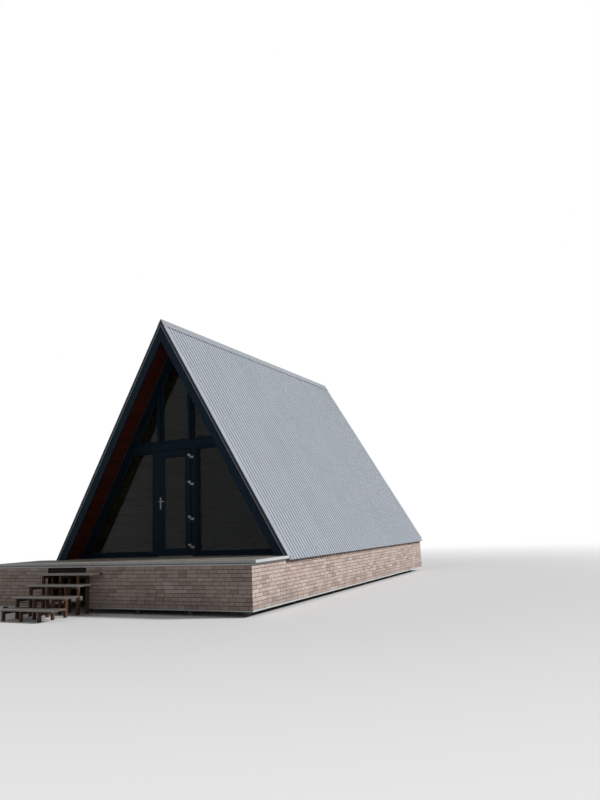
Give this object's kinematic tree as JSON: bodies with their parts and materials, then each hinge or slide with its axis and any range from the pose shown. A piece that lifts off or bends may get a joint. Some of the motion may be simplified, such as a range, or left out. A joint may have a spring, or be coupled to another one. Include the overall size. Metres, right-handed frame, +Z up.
{
  "type": "a-frame cabin",
  "caption": "Hollow A-frame cabin on screw piles: ribbed metal roof down to a brick-look skirt, glazed gable with a hinged door, front deck with an open stair.",
  "frame": {"origin": "on the ground at the foot of the centre pile, under the middle of the ridge", "axes": "+Z up, +Y from the glazed front gable to the rear gable, +X to the right of the front view"},
  "size_m": [6.5188, 11.186, 6.1161],
  "materials": {
    "pile_steel": "matt",
    "structural_timber": "sawn",
    "deck_timber": "weathered",
    "stair_timber": "stained",
    "pale_trim": "satin",
    "brick_panels": "moulded",
    "roof_metal": "satin",
    "barge_boards": "satin",
    "stained_boards": "stained",
    "pine_lining": "varnished",
    "dark_frames": "satin",
    "window_glass": "clear",
    "white_hardware": "gloss"
  },
  "bodies": {
    "cabin": {"piles": "pile_steel", "floor_beams": "structural_timber", "floor_slab": "structural_timber", "deck_rims": "structural_timber", "deck_joists": "structural_timber", "deck_boards": "deck_timber", "deck_edge_strip": "pale_trim", "skirt_front_left": "brick_panels", "skirt_front_right": "brick_panels", "skirt_deck_left": "brick_panels", "skirt_deck_right": "brick_panels", "skirt_left": "brick_panels", "skirt_right": "brick_panels", "skirt_rear": "brick_panels", "skirt_trim": "pale_trim", "stair_posts": "stair_timber", "stair_treads": "deck_timber", "roof_panel_left": "structural_timber", "roof_panel_right": "structural_timber", "roof_sheet_left": "roof_metal", "roof_sheet_right": "roof_metal", "ridge_cap": "roof_metal", "verge_left": "roof_metal", "verge_right": "roof_metal", "fascia_left": "barge_boards", "fascia_right": "barge_boards", "eave_trims": "roof_metal", "soffit_left": "stained_boards", "soffit_right": "stained_boards", "lining_left": "pine_lining", "lining_right": "pine_lining", "rake_frame_left": "dark_frames", "rake_frame_right": "dark_frames", "front_sills": "dark_frames", "transom_beam": "dark_frames", "door_posts": "dark_frames", "upper_mullions": "dark_frames", "window_frames": "dark_frames", "front_glass": "window_glass", "door_jambs": "dark_frames", "door_head": "dark_frames", "door_threshold": "pale_trim", "hinge_posts": "white_hardware", "rear_wall": "stained_boards", "rear_window_frames": "dark_frames", "rear_glass": "window_glass"},
    "door": {"door_leaf": "dark_frames", "door_glass": "window_glass", "hinge_leaves": "white_hardware", "handle_plates": "white_hardware"},
    "lever": {"door_lever": "white_hardware"}
  },
  "joints": [
    {"name": "door_swing", "type": "hinge", "parent": "cabin", "child": "door", "pos_m": [0.43, -3.926, 2], "axis": [0, 0, 1], "range_deg": [0, 110]},
    {"name": "lever_turn", "type": "hinge", "parent": "door", "child": "lever", "pos_m": [-0.375, -3.877, 2.125], "axis": [0, 1, 0], "range_deg": [0, 40], "stiffness_Nm_per_rad": 1.5, "springref_deg": -20.05}
  ]
}
